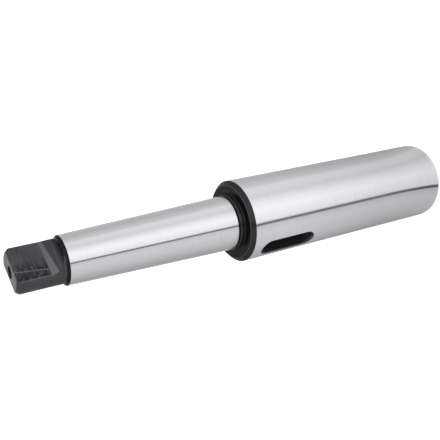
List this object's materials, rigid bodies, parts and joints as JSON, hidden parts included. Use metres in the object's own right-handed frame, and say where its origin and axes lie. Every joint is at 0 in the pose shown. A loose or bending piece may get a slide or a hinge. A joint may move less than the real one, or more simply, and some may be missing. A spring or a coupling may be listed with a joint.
{
  "type": "morse taper sleeve",
  "caption": "Ground steel extension sleeve with a taper shank and blackened tang at one end and a matching taper socket with a drift slot in its plain body.",
  "frame": {"origin": "centre of the socket's mouth face, the end that the sleeve stands on", "axes": "+Z along the axis from the socket's mouth to the tang, +X square to the tang's flats, +Y the way the drift slot runs through"},
  "size_m": [0.036, 0.036, 0.209],
  "materials": {
    "steel": "ground bright, blackened on the tang, the shoulder, the slot and the bore"
  },
  "bodies": {
    "root": {"sleeve": "steel"}
  },
  "joints": []
}
